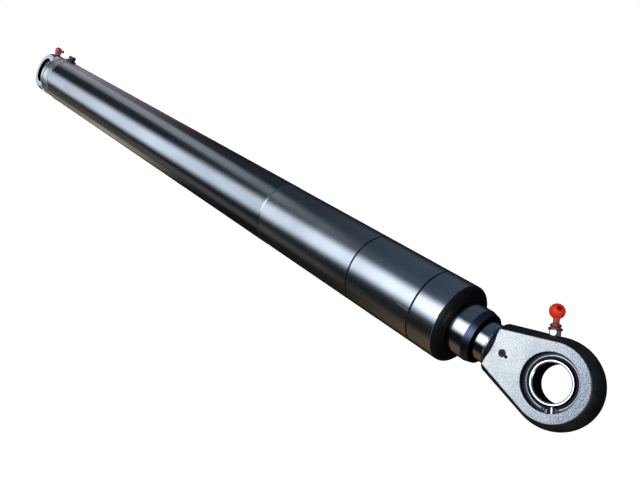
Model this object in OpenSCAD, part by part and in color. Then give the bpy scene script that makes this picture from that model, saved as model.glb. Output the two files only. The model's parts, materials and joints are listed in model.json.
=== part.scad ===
/* [Lengths] */
// Distance between the two pin centres with the cylinder closed, mm
closed_length = 1780; // [1600:10:2000]
// Length of the solid base between the rear pin centre and the barrel tube, mm
base_length = 131; // [125:1:140]

/* [Barrel] */
// Outside diameter of the barrel tube, mm
barrel_od = 121; // [119:0.5:124]
// Bore of the barrel tube, mm
barrel_bore = 100; // [98:0.5:102]

/* [Stage] */
// Outside diameter of the intermediate stage, mm
stage_od = 80; // [79:0.5:81]
// Bore of the intermediate stage, mm
stage_bore = 66; // [65:0.5:67]

/* [Rod] */
// Diameter of the rod, mm
rod_d = 60; // [58:0.5:61]
// Diameter of the threaded stud at the front of the rod, mm
stud_d = 40; // [36:1:42]

/* [Eyes] */
// Thickness of each eye across its flat faces, mm
eye_width = 50; // [48:0.5:52]
// Radius of each eye at its middle plane, mm
eye_reach = 59.5; // [58:0.5:60]
// Radius of the flat face of each eye, mm
eye_face_r = 51.2; // [50:0.2:52]
// Diameter of the neck of the front eye, mm
neck_d = 74; // [70:0.5:76]
// Diameter of the pin bore, mm
pin_d = 50; // [45:1:52]

/* [Grease nipples] */
// Width across the flats of the nipple hexagon, mm
hex_af = 14; // [12:0.5:16]
// Lean of the front nipple towards the barrel, degrees
front_lean = 23; // [16:0.5:30]
// Lean of the rear nipple away from the barrel, degrees
rear_lean = 16; // [0:1:25]

/* [Hidden] */
$fn = 96;

gap = 0.05;
barrel_r = barrel_od / 2;
bore_r = barrel_bore / 2;
stage_r = stage_od / 2;
stage_bore_r = stage_bore / 2;
gland_r = stage_bore_r + 3;
rod_r = rod_d / 2;
stud_r = stud_d / 2;
half_eye = eye_width / 2;
pin_r = pin_d / 2;

// stations along the axis, measured from the rear pin centre
x_base = base_length;
x_spigot = x_base + 34;
x_port = x_base - 39;
x_shoulder = x_base - 53;
x_head = closed_length - 205;
x_head_tail = x_head - 80;
x_rim = closed_length - 160;
x_face = x_rim + 8;
x_seam = closed_length - 336;
x_turned = closed_length - 575;
x_stage = closed_length - 113;
x_neck = closed_length - 89.5;
x_stud = closed_length - 42;
x_screw = x_neck + 18.9;
x_stage_tail = x_spigot + 20;
x_rod_tail = x_spigot + 80;

// spherical plain bearing
race_r = 37.5;
race_w = 28;
inner_w = 35;
ball_r = 33;
clip_groove_r = 39.3;
clip_t = 2.3;

// flank of the eyes: one arc from face edge to face edge
flank_d = eye_reach - eye_face_r;
flank_r = (flank_d * flank_d + half_eye * half_eye) / (2 * flank_d);
flank_a = asin(half_eye / flank_r);
flank_steps = 12;

// grease nipples, heights measured from the pin axis
seat_h = 58;
front_hex_h = 8.5;
rear_hex_h = 4;
front_ball_h = 91.7;
rear_ball_h = 74;
spot_r = 11;
// distance by which the front nipple's axis passes behind the pin centre
front_off = 8;
hex_r = hex_af / 2 / cos(30);

// a solid of revolution about the cylinder axis; points are [radius, station]
module turned(points) {
  rotate([0, 90, 0])
    rotate_extrude()
      polygon(points);
}

module ring(x0, x1, outer, inner) {
  turned([[inner, x0], [outer, x0], [outer, x1], [inner, x1]]);
}

// a ring with its two outer edges chamfered
module edged_ring(x0, x1, outer, inner, c) {
  turned([
    [inner, x0], [outer - c, x0], [outer, x0 + c],
    [outer, x1 - c], [outer - c, x1], [inner, x1]
  ]);
}

module bar(x0, x1, r) {
  translate([x0, 0, 0])
    rotate([0, 90, 0])
      cylinder(r = r, h = x1 - x0);
}

// straight bore across the eye, centred on the middle plane
module cross_bore(x, r, w) {
  translate([x, w / 2, 0])
    rotate([90, 0, 0])
      cylinder(r = r, h = w);
}

// places a child that is drawn along +Z from the pin axis, off to the barrel side
module radial(x, lean, off) {
  translate([x, 0, 0])
    rotate([0, lean, 0])
      translate([-off, 0, 0])
        children();
}

// ------------------------------------------------------------------ eyes

// round of the eye: flat faces and one convex flank
module eye_round(x) {
  arc = [for (i = [0 : flank_steps])
    let (a = -flank_a + 2 * flank_a * i / flank_steps)
    [eye_reach - flank_r + flank_r * cos(a), flank_r * sin(a)]];
  translate([x, 0, 0])
    rotate([90, 0, 0])
      rotate_extrude()
        polygon(concat([[0, -half_eye]], arc, [[0, half_eye]]));
}

// short length of round bar with the two milled flats of the eye
module flatted_bar(x0, x1, r) {
  intersection() {
    bar(x0, x1, r);
    translate([x0 - 1, -half_eye, -r - 1])
      cube([x1 - x0 + 2, eye_width, 2 * r + 2]);
  }
}

module eye_cuts(x, lean, off) {
  cross_bore(x, race_r, eye_width + 2);
  for (s = [-1, 1])
    translate([x, s * (race_w / 2 + 1.2), 0])
      rotate([90, 0, 0])
        cylinder(r = clip_groove_r, h = 2.4, center = true);
  radial(x, lean, off) {
    translate([0, 0, seat_h])
      cylinder(r = spot_r, h = 20);
    translate([0, 0, seat_h - 10])
      cylinder(r = 4 + gap, h = 12);
    translate([0, 0, race_r - 3])
      cylinder(r = 2, h = 20);
  }
}

// a solid of revolution about the pin axis, from the 2D child
module about_pin(x) {
  translate([x, 0, 0])
    rotate([90, 0, 0])
      rotate_extrude()
        children();
}

module outer_race(x, lean, off) {
  difference() {
    about_pin(x)
      difference() {
        translate([ball_r - 8, -race_w / 2])
          square([race_r - 0.02 - ball_r + 8, race_w]);
        circle(r = ball_r + gap);
      }
    radial(x, lean, off)
      translate([0, 0, 28])
        cylinder(r = 1.5, h = 14);
  }
}

// ball-shaped inner ring with chamfered bore edges
module inner_race(x) {
  half = inner_w / 2;
  about_pin(x)
    intersection() {
      circle(r = ball_r);
      polygon([
        [pin_r + 1.5, -half], [ball_r + 1, -half], [ball_r + 1, half], [pin_r + 1.5, half],
        [pin_r, half - 1.5], [pin_r, 1.5 - half]
      ]);
    }
}

// open retaining ring with a small eyelet at each side of its gap
module circlip(x, y) {
  gap_at = 294;
  translate([x, y, 0])
    rotate([90, 0, 0])
      difference() {
        union() {
          translate([0, 0, -clip_t / 2])
            rotate_extrude(angle = 336, start = gap_at + 12)
              translate([34.6, 0])
                square([4.5, clip_t]);
          for (a = [gap_at - 13.5, gap_at + 13.5])
            rotate([0, 0, a])
              translate([34.4, 0, -clip_t / 2])
                cylinder(r = 2.7, h = clip_t);
        }
        for (a = [gap_at - 13.5, gap_at + 13.5])
          rotate([0, 0, a])
            translate([34, 0, -clip_t])
              cylinder(r = 1.1, h = 2 * clip_t);
      }
}

module circlip_pair(x) {
  for (s = [-1, 1])
    circlip(x, s * (race_w / 2 + 1.2));
}

// ------------------------------------------------------------- nipples

module nipple(x, lean, off, h) {
  radial(x, lean, off)
    difference() {
      union() {
        translate([0, 0, seat_h - 9])
          cylinder(r = 4, h = 9.5);
        intersection() {
          translate([0, 0, seat_h])
            cylinder(r = hex_r, h = h, $fn = 6);
          translate([0, 0, seat_h - 2])
            cylinder(r1 = hex_r - 2.4, r2 = hex_r + 3.6, h = 6 + h);
          translate([0, 0, seat_h - 8])
            cylinder(r1 = hex_r + 7.4, r2 = hex_r - 0.6, h = 8 + h);
        }
        translate([0, 0, seat_h + h])
          rotate_extrude()
            polygon([
              [0, -0.5], [3.2, -0.5], [3.2, 0.8], [2.4, 2.2], [2.4, 3],
              [3.2, 4.2], [3.2, 5], [1.7, 6.6], [0, 6.6]
            ]);
      }
      translate([0, 0, seat_h - 10])
        cylinder(r = 1.7, h = 14);
      translate([0, 0, seat_h + 3])
        cylinder(r = 0.8, h = h + 5);
    }
}

module nipple_ball(x, lean, off) {
  radial(x, lean, off)
    translate([0, 0, seat_h + 2.3])
      sphere(r = 1.65);
}

// rubber cap: two-ribbed skirt, stem, ball and a dished round button
module nipple_cap(x, lean, off, h, ball_h, button, reach) {
  foot = seat_h + h + 0.3;
  radial(x, lean, off)
    difference() {
      union() {
        rotate_extrude()
          polygon([
            [0, foot], [8.6, foot], [9.2, foot + 0.6], [9.2, foot + 2.6], [8.4, foot + 3.4],
            [6.4, foot + 3.8], [6.4, foot + 4.5], [7.4, foot + 5.1], [7.4, foot + 7.5],
            [6.6, foot + 8.3], [4.3, foot + 8.7], [4.3, max(ball_h - 8, foot + 9)],
            [0, max(ball_h - 8, foot + 9)]
          ]);
        translate([0, 0, ball_h])
          sphere(r = 10.4);
        translate([0, 0, ball_h])
          rotate(button)
            cylinder(r = 4.6, h = reach);
      }
      translate([0, 0, foot - 1.3])
        cylinder(r = 3.25, h = 8.6);
      translate([0, 0, ball_h])
        rotate(button)
          translate([0, 0, reach - 1.2])
            cylinder(r = 3.4, h = 2);
    }
}

// ------------------------------------------------------------ fixed group

module barrel_tube() {
  color([0.45, 0.47, 0.52])
    difference() {
      turned([
        [bore_r, x_base], [barrel_r - 5, x_base], [barrel_r, x_base + 5],
        [barrel_r, x_turned], [barrel_r - 0.25, x_turned + 0.5],
        [barrel_r - 0.25, x_seam - 0.8], [barrel_r - 1.5, x_seam - 0.5],
        [barrel_r - 1.5, x_seam + 0.5], [barrel_r - 0.25, x_seam + 0.8],
        [barrel_r - 0.25, x_head - 1.2],
        [barrel_r - 1.4, x_head], [bore_r, x_head]
      ]);
      translate([x_head - 30, 0, -barrel_r - 1])
        cylinder(r = 5 + gap, h = 14);
    }
}

module rear_eye() {
  color([0.42, 0.43, 0.46])
    difference() {
      union() {
        hull() {
          eye_round(0);
          flatted_bar(x_shoulder - 18, x_shoulder - 16, eye_reach);
        }
        difference() {
          turned([
            [0, 40], [eye_reach, 40], [eye_reach, x_base - 5], [eye_reach - 4, x_base],
            [bore_r - gap, x_base], [bore_r - gap, x_spigot - 3],
            [bore_r - 3, x_spigot], [0, x_spigot]
          ]);
          for (s = [-1, 1])
            side_mill(s);
        }
      }
      eye_cuts(0, -rear_lean, 0);
      translate([x_port, 0, 44])
        cylinder(r = 8, h = 30);
      translate([x_port, 0, 0])
        cylinder(r = 5, h = 60);
      bar(x_port, x_spigot + 1, 6);
    }
}

// clears one side of the bar down to the flat of the eye, with a rounded run-out
module side_mill(s) {
  run_out = 14;
  translate([0, s * (half_eye + run_out + 40), 0])
    cube([2 * x_shoulder, 80, 140], center = true);
  translate([-run_out, s * (half_eye + 40), 0])
    cube([2 * x_shoulder, 80, 140], center = true);
  translate([x_shoulder - run_out, s * (half_eye + run_out), -70])
    cylinder(r = run_out, h = 140);
}

// weld between base and tube: fills the groove and crowns slightly
module base_weld() {
  crown = [for (i = [0 : 8])
    let (a = 180 * i / 8)
    [eye_reach + 0.6 + 0.9 * sin(a), x_base - 6 * cos(a)]];
  color([0.36, 0.36, 0.39])
    difference() {
      turned(concat([[bore_r, x_base - 5], [bore_r, x_base + 6]], [for (i = [8 : -1 : 0]) crown[i]]));
      turned([
        [0, x_base - 20], [eye_reach + 0.02, x_base - 20], [eye_reach + 0.02, x_base - 5],
        [eye_reach - 4, x_base], [0, x_base]
      ]);
      turned([
        [0, x_base - 0.01], [barrel_r - 5, x_base - 0.01], [barrel_r - 5, x_base],
        [barrel_r + 0.02, x_base + 5], [barrel_r + 0.02, x_base + 20], [0, x_base + 20]
      ]);
    }
}

module port_boss() {
  color([0.3, 0.31, 0.34])
    difference() {
      translate([x_port, 0, 0])
        rotate_extrude()
          polygon([[0, 40], [15, 40], [15, 62.6], [14.2, 63.4], [0, 63.4]]);
      bar(x_port - 30, x_port + 30, eye_reach);
      translate([x_port, 0, 30])
        cylinder(r = 8, h = 50);
    }
}

// push-in plug: ribbed head and a tapered-nose spigot
module port_plug() {
  ribs = 18;
  color([0.05, 0.05, 0.055])
    translate([x_port, 0, 63.4])
      difference() {
        rotate_extrude()
          polygon([
            [0, -17], [6.8, -17], [7.9, -14], [7.9, 0.1], [9.6, 0.1], [10.2, 0.8],
            [10.2, 11.2], [9.2, 12.2], [4.4, 12.2], [3.8, 11.2], [0, 11.2]
          ]);
        for (i = [0 : ribs - 1])
          rotate([0, 0, 360 * i / ribs])
            translate([10.6, 0, 2])
              cylinder(r = 0.9, h = 12);
      }
}

module head_gland() {
  rim = [for (i = [0 : 6])
    let (a = 90 * i / 6)
    [barrel_r - 8 + 8 * cos(a), x_rim + 8 * sin(a)]];
  color([0.2, 0.2, 0.22])
    difference() {
      turned(concat(
        [[stage_r + 0.3, x_head_tail], [bore_r - 3, x_head_tail], [bore_r - gap, x_head_tail + 3],
         [bore_r - gap, x_head], [barrel_r - 1.4, x_head], [barrel_r - 0.2, x_head + 1.2]],
        [for (p = rim) [p[0] - 0.2, p[1]]],
        [[stage_r + 0.3, x_face]]
      ));
      ring(x_face - 12, x_face + 1, 46.5, stage_r);
      ring(x_head + 4, x_head + 15, 47, stage_r);
      for (i = [0 : 2])
        ring(x_head_tail + 10 + 26 * i, x_head_tail + 24 + 26 * i, stage_r + 2.5, stage_r);
      ring(x_head_tail + 66, x_head_tail + 71, bore_r + 1, bore_r - 4);
      translate([x_head - 30, 0, -bore_r - 1])
        cylinder(r = 5 + gap, h = 5.5);
    }
}

module head_lock_screw() {
  color([0.12, 0.12, 0.13])
    translate([x_head - 30, 0, 0])
      difference() {
        translate([0, 0, 0.6 - barrel_r])
          cylinder(r = 5, h = barrel_r - bore_r + 3.2);
        translate([0, 0, -barrel_r])
          cylinder(r = 2.9, h = 5.6, $fn = 6);
      }
}

module head_wiper() {
  color([0.06, 0.06, 0.07])
    turned([
      [stage_r + 1.4, x_face - 11.9], [46.4, x_face - 11.9], [46.4, x_face - 0.4],
      [stage_r + 1.6, x_face - 0.4], [stage_r + gap, x_face + 1.2],
      [stage_r + gap, x_face - 2], [stage_r + 1.4, x_face - 4]
    ]);
}

module head_rod_seal() {
  color([0.15, 0.3, 0.5])
    turned([
      [stage_r + gap, x_head + 4.1], [46.9, x_head + 4.1], [46.9, x_head + 14.9],
      [44.5, x_head + 14.9], [43.4, x_head + 11], [42.4, x_head + 14.9],
      [stage_r + gap, x_head + 13.5]
    ]);
}

module head_guide_rings() {
  color([0.5, 0.25, 0.12])
    for (i = [0 : 2])
      ring(x_head_tail + 10.1 + 26 * i, x_head_tail + 23.9 + 26 * i,
        stage_r + 2.45, stage_r + 0.03);
}

module head_o_ring() {
  color([0.04, 0.04, 0.04])
    rotate([0, 90, 0])
      translate([0, 0, x_head_tail + 68.5])
        rotate_extrude()
          translate([bore_r - 2.05, 0])
            circle(r = 1.9, $fn = 32);
}

// --------------------------------------------------------- moving stage

module stage_tube() {
  color([0.72, 0.74, 0.78])
    turned([
      [stage_bore_r, x_stage_tail], [stage_r, x_stage_tail], [stage_r, x_stage - 10],
      [stage_r - 2.7, x_stage], [gland_r, x_stage], [gland_r, x_stage - 90],
      [stage_bore_r, x_stage - 90]
    ]);
}

module stage_piston() {
  color([0.5, 0.5, 0.53])
    difference() {
      edged_ring(x_stage_tail - 14, x_stage_tail + 41, bore_r - 0.2, 27.5, 1.5);
      bar(x_stage_tail, x_stage_tail + 50, stage_r + gap);
      ring(x_stage_tail + 7, x_stage_tail + 19, bore_r + 1, 43.5);
      ring(x_stage_tail - 10, x_stage_tail - 1, bore_r + 1, 47.4);
      ring(x_stage_tail + 27, x_stage_tail + 36, bore_r + 1, 47.4);
    }
}

module stage_piston_seal() {
  color([0.15, 0.3, 0.5])
    edged_ring(x_stage_tail + 7.1, x_stage_tail + 18.9, bore_r - gap, 43.6, 1);
}

module stage_piston_guides() {
  color([0.5, 0.25, 0.12])
    for (dx = [-10, 27])
      ring(x_stage_tail + dx + 0.1, x_stage_tail + dx + 8.9, bore_r - 0.03, 47.45);
}

module stage_stop_tube() {
  color([0.45, 0.45, 0.48])
    edged_ring(x_stage_tail + 41, x_stage_tail + 115, 47, stage_r + gap, 1);
}

module stage_gland() {
  color([0.24, 0.24, 0.26])
    difference() {
      ring(x_stage - 90, x_stage - 5, gland_r - gap, rod_r + 0.3);
      ring(x_stage - 14, x_stage - 4, gland_r - 1.4, rod_r);
      ring(x_stage - 30, x_stage - 22, gland_r - 1.6, rod_r);
      ring(x_stage - 55, x_stage - 43, rod_r + 2.5, rod_r);
      ring(x_stage - 78, x_stage - 66, rod_r + 2.5, rod_r);
      ring(x_stage - 62.5, x_stage - 59, gland_r + 1, gland_r - 2);
    }
}

module stage_wiper() {
  color([0.06, 0.06, 0.07])
    turned([
      [rod_r + 1.2, x_stage - 13.9], [gland_r - 1.5, x_stage - 13.9],
      [gland_r - 1.5, x_stage - 4.6], [rod_r + 1.4, x_stage - 4.6],
      [rod_r + gap, x_stage - 2.6], [rod_r + gap, x_stage - 6], [rod_r + 1.2, x_stage - 8]
    ]);
}

module stage_rod_seal() {
  color([0.15, 0.3, 0.5])
    edged_ring(x_stage - 29.9, x_stage - 22.1, gland_r - 1.7, rod_r + gap, 0.6);
}

module stage_guide_rings() {
  color([0.5, 0.25, 0.12])
    for (dx = [55, 78])
      ring(x_stage - dx + 0.1, x_stage - dx + 11.9, rod_r + 2.45, rod_r + 0.03);
}

module stage_o_ring() {
  color([0.04, 0.04, 0.04])
    rotate([0, 90, 0])
      translate([0, 0, x_stage - 60.75])
        rotate_extrude()
          translate([gland_r - 1.05, 0])
            circle(r = 0.9, $fn = 24);
}

// ----------------------------------------------------------- moving rod

module rod() {
  color([0.78, 0.8, 0.84])
    difference() {
      turned([
        [0, x_rod_tail - 58], [16, x_rod_tail - 58], [18, x_rod_tail - 56],
        [18, x_rod_tail], [rod_r, x_rod_tail], [rod_r, x_neck - 5.6],
        [rod_r - 1.2, x_neck - 4.8], [rod_r - 1.2, x_neck + 1 + 1.2 / 3],
        [stud_r, x_neck + 1 + (rod_r - stud_r) / 3],
        [stud_r, x_stud - 2], [stud_r - 2, x_stud], [0, x_stud]
      ]);
      translate([x_screw, 1.6 - stud_r, 0])
        rotate([90, 0, 0])
          cylinder(r = 4 + gap, h = 6);
    }
}

module rod_piston() {
  color([0.5, 0.5, 0.53])
    difference() {
      edged_ring(x_rod_tail - 40, x_rod_tail, stage_bore_r - 0.2, 18 + gap, 1);
      ring(x_rod_tail - 25, x_rod_tail - 15, stage_bore_r + 1, stage_bore_r - 5);
      ring(x_rod_tail - 37, x_rod_tail - 30, stage_bore_r + 1, stage_bore_r - 2.4);
      ring(x_rod_tail - 10, x_rod_tail - 3, stage_bore_r + 1, stage_bore_r - 2.4);
    }
}

module rod_piston_seal() {
  color([0.15, 0.3, 0.5])
    edged_ring(x_rod_tail - 24.9, x_rod_tail - 15.1, stage_bore_r - gap, stage_bore_r - 4.9, 0.8);
}

module rod_piston_guides() {
  color([0.5, 0.25, 0.12])
    for (dx = [37, 10])
      ring(x_rod_tail - dx + 0.1, x_rod_tail - dx + 6.9, stage_bore_r - 0.03, stage_bore_r - 2.35);
}

module rod_spacer() {
  color([0.45, 0.45, 0.48])
    edged_ring(x_rod_tail, x_rod_tail + 135, stage_bore_r - 0.5, rod_r + gap, 0.6);
}

module rod_nut() {
  color([0.4, 0.4, 0.43])
    difference() {
      translate([x_rod_tail - 54, 0, 0])
        rotate([0, 90, 0])
          cylinder(r = 27, h = 12, $fn = 6);
      bar(x_rod_tail - 60, x_rod_tail, 18 + gap);
    }
}

module rod_washer() {
  color([0.55, 0.55, 0.57])
    ring(x_rod_tail - 42, x_rod_tail - 40, 27, 18 + gap);
}

module front_eye() {
  color([0.42, 0.43, 0.46])
    difference() {
      hull() {
        eye_round(closed_length);
        flatted_bar(x_neck, x_neck + 2, neck_d / 2);
      }
      eye_cuts(closed_length, -front_lean, front_off);
      bar(x_neck - 1, x_stud + 0.5, stud_r + gap);
      // conical seat for the end of the rod
      turned([
        [0, x_neck - 1], [rod_r + 7, x_neck - 1], [rod_r + 4, x_neck], [rod_r + 1, x_neck + 1],
        [stud_r - 2, x_neck + (rod_r + 6 - stud_r) / 3], [0, x_neck + (rod_r + 6 - stud_r) / 3]
      ]);
      translate([x_screw, 1 - stud_r, 0])
        rotate([90, 0, 0])
          cylinder(r = 4 + gap, h = half_eye);
      // relief round the mouth of the screw hole
      translate([x_screw, 2.4 - half_eye, 0])
        rotate([90, 0, 0])
          cylinder(r = 5.2, h = 4);
      // punch mark that locks the set screw
      translate([x_screw + 7.2, 1.8 - half_eye, -1.6])
        rotate([90, 0, 0])
          cylinder(r = 1.8, h = 4);
    }
}

module eye_set_screw() {
  color([0.12, 0.12, 0.13])
    translate([x_screw, 1.5 - stud_r, 0])
      rotate([90, 0, 0])
        difference() {
          cylinder(r = 4, h = half_eye - stud_r + 0.9);
          translate([0, 0, half_eye - stud_r - 2])
            cylinder(r = 2.3, h = 4, $fn = 6);
        }
}

// --------------------------------------------------- mirrored small parts

module rear_outer_race() {
  color([0.3, 0.3, 0.33])
    outer_race(0, -rear_lean, 0);
}

module front_outer_race() {
  color([0.3, 0.3, 0.33])
    outer_race(closed_length, -front_lean, front_off);
}

module rear_inner_race() {
  color([0.6, 0.6, 0.63])
    inner_race(0);
}

module front_inner_race() {
  color([0.6, 0.6, 0.63])
    inner_race(closed_length);
}

module rear_circlips() {
  color([0.1, 0.1, 0.11])
    circlip_pair(0);
}

module front_circlips() {
  color([0.1, 0.1, 0.11])
    circlip_pair(closed_length);
}

module rear_nipple() {
  color([0.7, 0.7, 0.72])
    nipple(0, -rear_lean, 0, rear_hex_h);
}

module front_nipple() {
  color([0.7, 0.7, 0.72])
    nipple(closed_length, -front_lean, front_off, front_hex_h);
}

module rear_nipple_ball() {
  color([0.8, 0.8, 0.82])
    nipple_ball(0, -rear_lean, 0);
}

module front_nipple_ball() {
  color([0.8, 0.8, 0.82])
    nipple_ball(closed_length, -front_lean, front_off);
}

module rear_nipple_cap() {
  color([0.75, 0.1, 0.1])
    nipple_cap(0, -rear_lean, 0, rear_hex_h, rear_ball_h, [0, 90, 45], 15.8);
}

module front_nipple_cap() {
  color([0.75, 0.1, 0.1])
    nipple_cap(closed_length, -front_lean, front_off, front_hex_h, front_ball_h,
      [0, 73, -56], 10.9);
}

barrel_tube();
rear_eye();
base_weld();
port_boss();
head_gland();
head_lock_screw();
head_wiper();
head_rod_seal();
head_guide_rings();
head_o_ring();
rear_outer_race();
rear_circlips();
rear_nipple();
rear_inner_race();
rear_nipple_ball();
rear_nipple_cap();
port_plug();
stage_tube();
stage_piston();
stage_piston_seal();
stage_piston_guides();
stage_stop_tube();
stage_gland();
stage_wiper();
stage_rod_seal();
stage_guide_rings();
stage_o_ring();
rod();
rod_piston();
rod_piston_seal();
rod_piston_guides();
rod_spacer();
rod_nut();
rod_washer();
front_eye();
eye_set_screw();
front_outer_race();
front_circlips();
front_nipple();
front_inner_race();
front_nipple_ball();
front_nipple_cap();
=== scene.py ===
import json
import math

import bmesh
import bpy
from mathutils import Matrix, Vector, noise


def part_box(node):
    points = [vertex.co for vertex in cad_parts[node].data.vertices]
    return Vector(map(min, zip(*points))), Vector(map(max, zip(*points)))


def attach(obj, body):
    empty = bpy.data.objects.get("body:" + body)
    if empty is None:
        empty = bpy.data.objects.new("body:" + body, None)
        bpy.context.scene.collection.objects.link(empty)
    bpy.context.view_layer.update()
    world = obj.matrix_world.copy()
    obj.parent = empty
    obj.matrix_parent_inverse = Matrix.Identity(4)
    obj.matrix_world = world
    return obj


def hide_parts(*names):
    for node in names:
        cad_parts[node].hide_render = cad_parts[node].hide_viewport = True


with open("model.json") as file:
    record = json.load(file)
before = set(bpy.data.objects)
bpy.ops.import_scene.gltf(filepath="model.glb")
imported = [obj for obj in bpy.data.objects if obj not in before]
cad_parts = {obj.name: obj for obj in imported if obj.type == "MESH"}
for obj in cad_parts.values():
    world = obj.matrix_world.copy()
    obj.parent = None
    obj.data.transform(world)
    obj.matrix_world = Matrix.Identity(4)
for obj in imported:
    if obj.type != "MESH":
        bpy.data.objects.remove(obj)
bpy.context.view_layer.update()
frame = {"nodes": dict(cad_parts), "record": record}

MM = 0.001

# ------------------------------------------------------------------ stations
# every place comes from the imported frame


def span(node, axis):
    lo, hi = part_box(node)
    return lo[axis], hi[axis]


X_BASE, X_HEAD = span("barrel_tube", 0)
BARREL_R = (span("barrel_tube", 1)[1] - span("barrel_tube", 1)[0]) / 2
X_FACE = span("head_gland", 0)[1]
X_STAGE0, X_STAGE = span("stage_tube", 0)
STAGE_R = (span("stage_tube", 1)[1] - span("stage_tube", 1)[0]) / 2
X_ROD0, X_STUD = span("rod", 0)
ROD_R = (span("rod", 1)[1] - span("rod", 1)[0]) / 2
X_NECK = span("front_eye", 0)[0]
PIN_X = sum(span("front_inner_race", 0)) / 2
REACH = span("front_eye", 0)[1] - PIN_X
HALF = span("front_eye", 1)[1]
X_SPIGOT = span("rear_eye", 0)[1]
X_PORT = sum(span("port_plug", 0)) / 2
X_SEAM = PIN_X - 336 * MM
X_TURNED = PIN_X - 575 * MM
FACE_R = 51.2 * MM  # flat face of an eye
RACE_R = 37.5 * MM  # seat of a bearing in its eye
CLIP_R = 39.3 * MM  # bottom of a circlip's groove
CLIP_IN = 14.0 * MM  # groove's sides, from the eye's middle plane
CLIP_OUT = 16.4 * MM
BALL_R = 33 * MM  # ball surface of an inner ring
PIN_R = 25 * MM
BORE_R = 50 * MM  # inside of the barrel
SPIGOT_R = 49.95 * MM  # what fits into it
STUD_R = 20 * MM  # rod's stud in the front eye
NIPPLE_R = 4.05 * MM  # hole of a nipple or of the set screw
SPOT_R = 11 * MM
SEAT_MM = 58  # nipple's seat above the pin's axis
SEAT = SEAT_MM * MM
FINE_ANGLE = 32  # degrees: softer edges are shaded smooth

# ---------------------------------------------------------------- mesh tools


def fillet(points, steps=4):
    """Closed outline from (a, b, radius) corners, with each corner rounded."""
    out = []
    n = len(points)
    for i in range(n):
        p = Vector(points[i][:2])
        r = points[i][2] if len(points[i]) > 2 else 0
        if not r:
            out.append((p.x, p.y))
            continue
        u = (Vector(points[i - 1][:2]) - p).normalized()
        v = (Vector(points[(i + 1) % n][:2]) - p).normalized()
        half = math.acos(max(-1, min(1, u.dot(v)))) / 2
        d = r / math.tan(half)
        centre = p + (u + v).normalized() * (r / math.sin(half))
        a, b = p + u * d - centre, p + v * d - centre
        turn = a.angle_signed(b)
        for k in range(steps + 1):
            t = turn * k / steps
            c, s = math.cos(t), -math.sin(t)
            q = Vector((a.x * c - a.y * s, a.x * s + a.y * c)) + centre
            out.append((q.x, q.y))
    return out


def shade(bm, angle):
    """Smooth shading, with the edges sharper than the angle kept crisp."""
    limit = math.radians(angle)
    for e in bm.edges:
        e.smooth = len(e.link_faces) != 2 or e.calc_face_angle(0) < limit
    for f in bm.faces:
        f.smooth = True


def finish_mesh(name, bm, body, materials, nodes=(), angle=FINE_ANGLE):
    """Makes a visible piece that rides on a body and stands for CAD nodes."""
    bmesh.ops.remove_doubles(bm, verts=bm.verts, dist=1e-7)
    bmesh.ops.recalc_face_normals(bm, faces=bm.faces)
    shade(bm, angle)
    mesh = bpy.data.meshes.new(name)
    bm.to_mesh(mesh)
    bm.free()
    ob = bpy.data.objects.new(name, mesh)
    bpy.context.scene.collection.objects.link(ob)
    for m in materials:
        mesh.materials.append(m)
    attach(ob, body)
    if nodes:
        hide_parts(*nodes)
    return ob


TO_X = Matrix.Rotation(math.pi / 2, 4, "Y")


def lathe(bm, outline, segs=160, matrix=TO_X, wobble=None, mat=None):
    """Revolves a closed (radius, station) outline about the local Z axis."""
    rings = []
    for r, z in outline:
        if r < 1e-7:
            rings.append([bm.verts.new(matrix @ Vector((0, 0, z)))])
            continue
        ring = []
        for k in range(segs):
            a = 2 * math.pi * k / segs
            rr, zz = (r, z) if wobble is None else wobble(r, z, a)
            ring.append(bm.verts.new(matrix @ Vector((rr * math.cos(a), rr * math.sin(a), zz))))
        rings.append(ring)
    for i in range(len(rings)):
        a, b = rings[i], rings[(i + 1) % len(rings)]
        if len(a) == 1 and len(b) == 1:
            continue
        for k in range(segs):
            j = (k + 1) % segs
            if len(a) == 1:
                f = bm.faces.new((a[0], b[j], b[k]))
            elif len(b) == 1:
                f = bm.faces.new((a[k], a[j], b[0]))
            else:
                f = bm.faces.new((a[k], a[j], b[j], b[k]))
            if mat is not None:
                f.material_index = mat(i)
    return bm


def mm(points):
    return [tuple(v * MM for v in p) for p in points]


def boolean(target, tool, operation):
    mod = target.modifiers.new("cut", "BOOLEAN")
    mod.operation = operation
    mod.solver = "EXACT"
    mod.object = tool
    dg = bpy.context.evaluated_depsgraph_get()
    made = bpy.data.meshes.new_from_object(target.evaluated_get(dg))
    target.modifiers.remove(mod)
    target.data = made
    bpy.data.objects.remove(tool)


def tool_from(bm):
    bmesh.ops.recalc_face_normals(bm, faces=bm.faces)
    mesh = bpy.data.meshes.new("tool")
    bm.to_mesh(mesh)
    bm.free()
    ob = bpy.data.objects.new("tool", mesh)
    bpy.context.scene.collection.objects.link(ob)
    return ob


def give_materials(ob, materials, index):
    """Gives a tool the materials of its target, and all its faces one of them."""
    for m in materials:
        ob.data.materials.append(m)
    for p in ob.data.polygons:
        p.material_index = index


def rod_tool(radius, length, matrix, segs=64):
    """A solid cylinder from the matrix's origin along its local Z."""
    return tool_from(lathe(bmesh.new(), [(0, 0), (radius, 0), (radius, length), (0, length)], segs, matrix))


def resharpen(ob, angle=FINE_ANGLE):
    """Shades a piece again after it has been cut."""
    bm = bmesh.new()
    bm.from_mesh(ob.data)
    bmesh.ops.remove_doubles(bm, verts=bm.verts, dist=1e-7)
    shade(bm, angle)
    bm.to_mesh(ob.data)
    bm.free()


# ----------------------------------------------------------------- materials


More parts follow.
